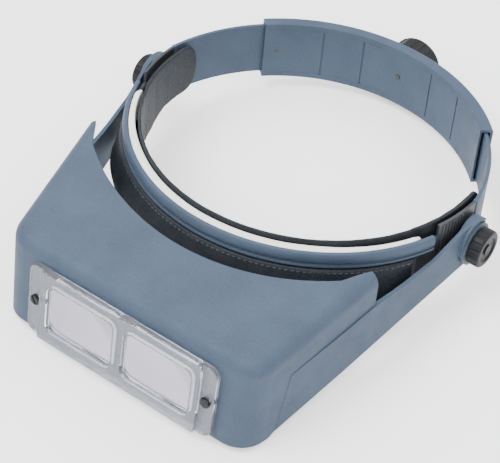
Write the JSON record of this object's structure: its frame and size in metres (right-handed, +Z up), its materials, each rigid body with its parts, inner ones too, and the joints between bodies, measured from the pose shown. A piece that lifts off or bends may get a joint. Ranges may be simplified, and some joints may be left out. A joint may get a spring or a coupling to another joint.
{
  "type": "head visor magnifier",
  "caption": "Head-worn magnifier with a padded headband, a tilting hood that holds a pair of lenses, side pivot knobs and a rear size knob.",
  "frame": {"origin": "under the middle of the bounding box, on the table the object lies on", "axes": "+X is the wearer's left, +Y points to the back of the head, +Z is up from the table"},
  "size_m": [0.2272, 0.2744, 0.0626],
  "materials": {
    "shell_plastic": "matte moulded plastic with a fine grain",
    "core_plastic": "matte dark plastic",
    "collar_plastic": "matte light grey plastic",
    "knob_plastic": "matte brown-black plastic",
    "leather": "soft grained leather",
    "foam": "soft open foam",
    "clear_plate": "clear moulded plastic",
    "lens_glass": "polished clear lens",
    "screw_steel": "black oxide screws",
    "steel": "plain bright steel",
    "brass": "turned brass",
    "fibre": "pressed fibre washer",
    "bearing_plastic": "slippery natural plastic"
  },
  "bodies": {
    "headband": {"headband_core": "core_plastic", "front_rail": "shell_plastic", "rail_pins": "core_plastic", "foam_strip": "foam", "comfort_band": "leather", "left_pivot_bolt": "steel", "left_pivot_bush": "bearing_plastic", "left_friction_washer": "fibre", "left_wave_washer": "steel", "right_pivot_bolt": "steel", "right_pivot_bush": "bearing_plastic", "right_friction_washer": "fibre", "right_wave_washer": "steel"},
    "rear_adjuster": {"rear_sleeve": "shell_plastic", "rear_cover": "shell_plastic", "cover_rivets": "core_plastic", "detent_washer": "steel"},
    "left_strap_body": {"left_strap": "shell_plastic"},
    "right_strap_body": {"right_strap": "shell_plastic"},
    "size_knob": {"pinion_shaft": "core_plastic", "rear_knob": "knob_plastic"},
    "visor": {"visor_shell": "shell_plastic", "lens_frame": "clear_plate", "left_lens": "lens_glass", "right_lens": "lens_glass", "lens_screws": "screw_steel", "lens_nuts": "brass", "left_pivot_collar": "collar_plastic", "right_pivot_collar": "collar_plastic"},
    "left_knob": {"left_pivot_knob": "knob_plastic", "left_knob_insert": "brass"},
    "right_knob": {"right_pivot_knob": "knob_plastic", "right_knob_insert": "brass"}
  },
  "joints": [
    {"name": "visor_tilt", "type": "hinge", "parent": "headband", "child": "visor", "pos_m": [0, 0.02718, 0.03002], "axis": [-1, 0, 0], "range_deg": [0, 75]},
    {"name": "size_slide", "type": "slide", "parent": "headband", "child": "rear_adjuster", "axis": [0, 0.9884, -0.1516], "range_m": [-0.006, 0.008]},
    {"name": "left_strap_flex", "type": "hinge", "parent": "headband", "child": "left_strap_body", "pos_m": [0.09817, 0.03527, 0.03333], "axis": [0, -0.1516, -0.9884], "range_deg": [-3.6, 4.8]},
    {"name": "right_strap_flex", "type": "hinge", "parent": "headband", "child": "right_strap_body", "pos_m": [-0.09817, 0.03527, 0.03333], "axis": [0, 0.1516, 0.9884], "range_deg": [-3.6, 4.8]},
    {"name": "size_knob_turn", "type": "hinge", "parent": "rear_adjuster", "child": "size_knob", "pos_m": [0, 0.11731, 0.02075], "axis": [0, -0.9884, 0.1516], "range_deg": [-47.5, 63]},
    {"name": "left_knob_turn", "type": "hinge", "parent": "headband", "child": "left_knob", "pos_m": [0.11, 0.02718, 0.03002], "axis": [1, 0, 0], "range_deg": [0, 360]},
    {"name": "right_knob_turn", "type": "hinge", "parent": "headband", "child": "right_knob", "pos_m": [-0.11, 0.02718, 0.03002], "axis": [-1, 0, 0], "range_deg": [0, 360]}
  ],
  "couplings": [
    {"joint": "left_strap_flex", "follows": "size_slide", "rad_per_m": 10.186},
    {"joint": "right_strap_flex", "follows": "size_slide", "rad_per_m": 10.186},
    {"joint": "size_knob_turn", "follows": "size_slide", "rad_per_m": 135.27}
  ]
}
